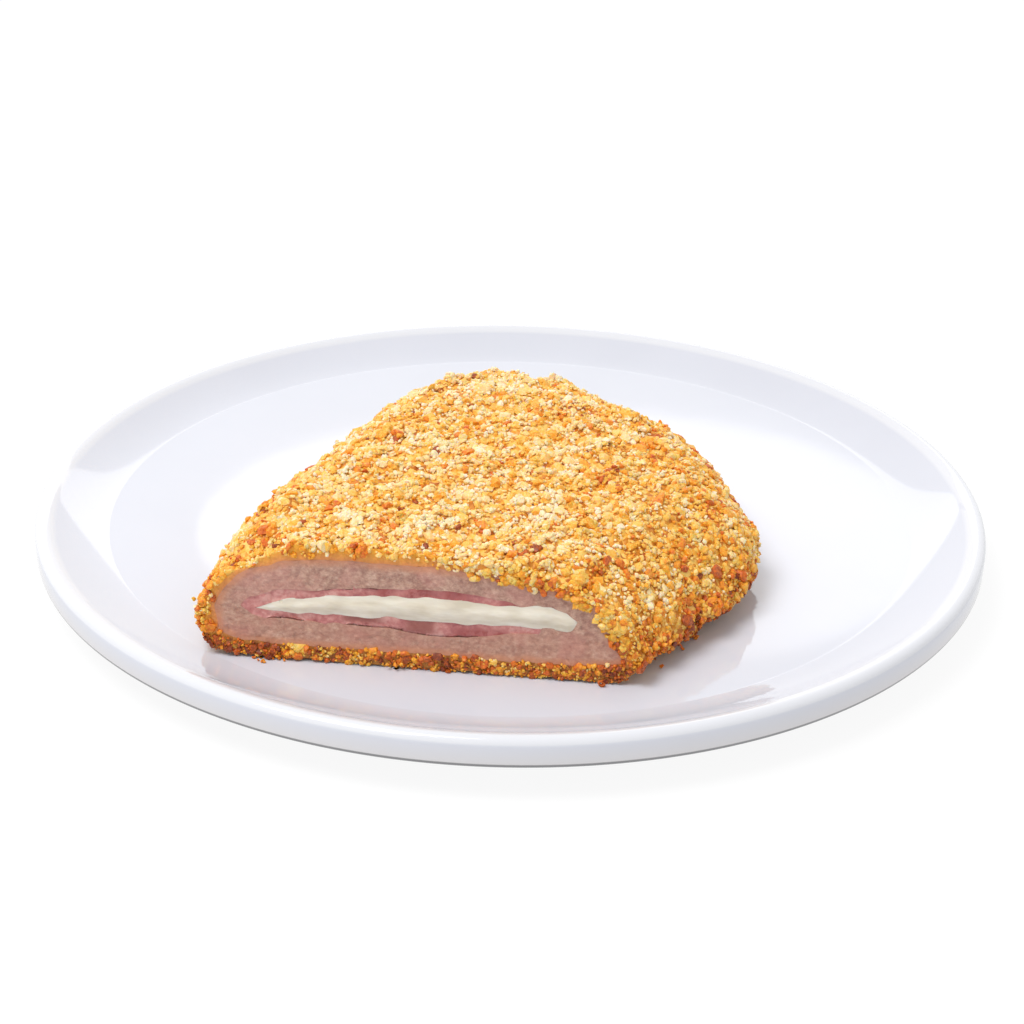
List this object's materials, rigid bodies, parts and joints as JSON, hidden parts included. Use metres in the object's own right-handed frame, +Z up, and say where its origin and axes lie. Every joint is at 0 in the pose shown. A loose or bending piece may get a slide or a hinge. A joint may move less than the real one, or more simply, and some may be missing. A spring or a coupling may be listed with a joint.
{
  "type": "plate of turkey cordon bleu",
  "caption": "Crumbed turkey escalope folded round ham and melted cheese, cut open at the front, served on a round white porcelain plate with a low rim.",
  "frame": {"origin": "on the plate's axis, at the level its foot stands on", "axes": "+Z up along the plate's axis; -Y towards the side that the knife cut faces; +X to the right when looking at the cut"},
  "size_m": [0.21, 0.21, 0.0372],
  "materials": {
    "porcelain": "glossy white glaze",
    "crumb_coat": "coarse golden breadcrumbs, toasted at the edges",
    "turkey_meat": "moist cooked meat, finely mottled",
    "cooked_ham": "moist rose ham",
    "melted_cheese": "smooth ivory, slightly glossy"
  },
  "bodies": {
    "root": {"plate": "porcelain", "breading": "crumb_coat", "turkey": "turkey_meat", "ham": "cooked_ham", "cheese": "melted_cheese"}
  },
  "joints": []
}
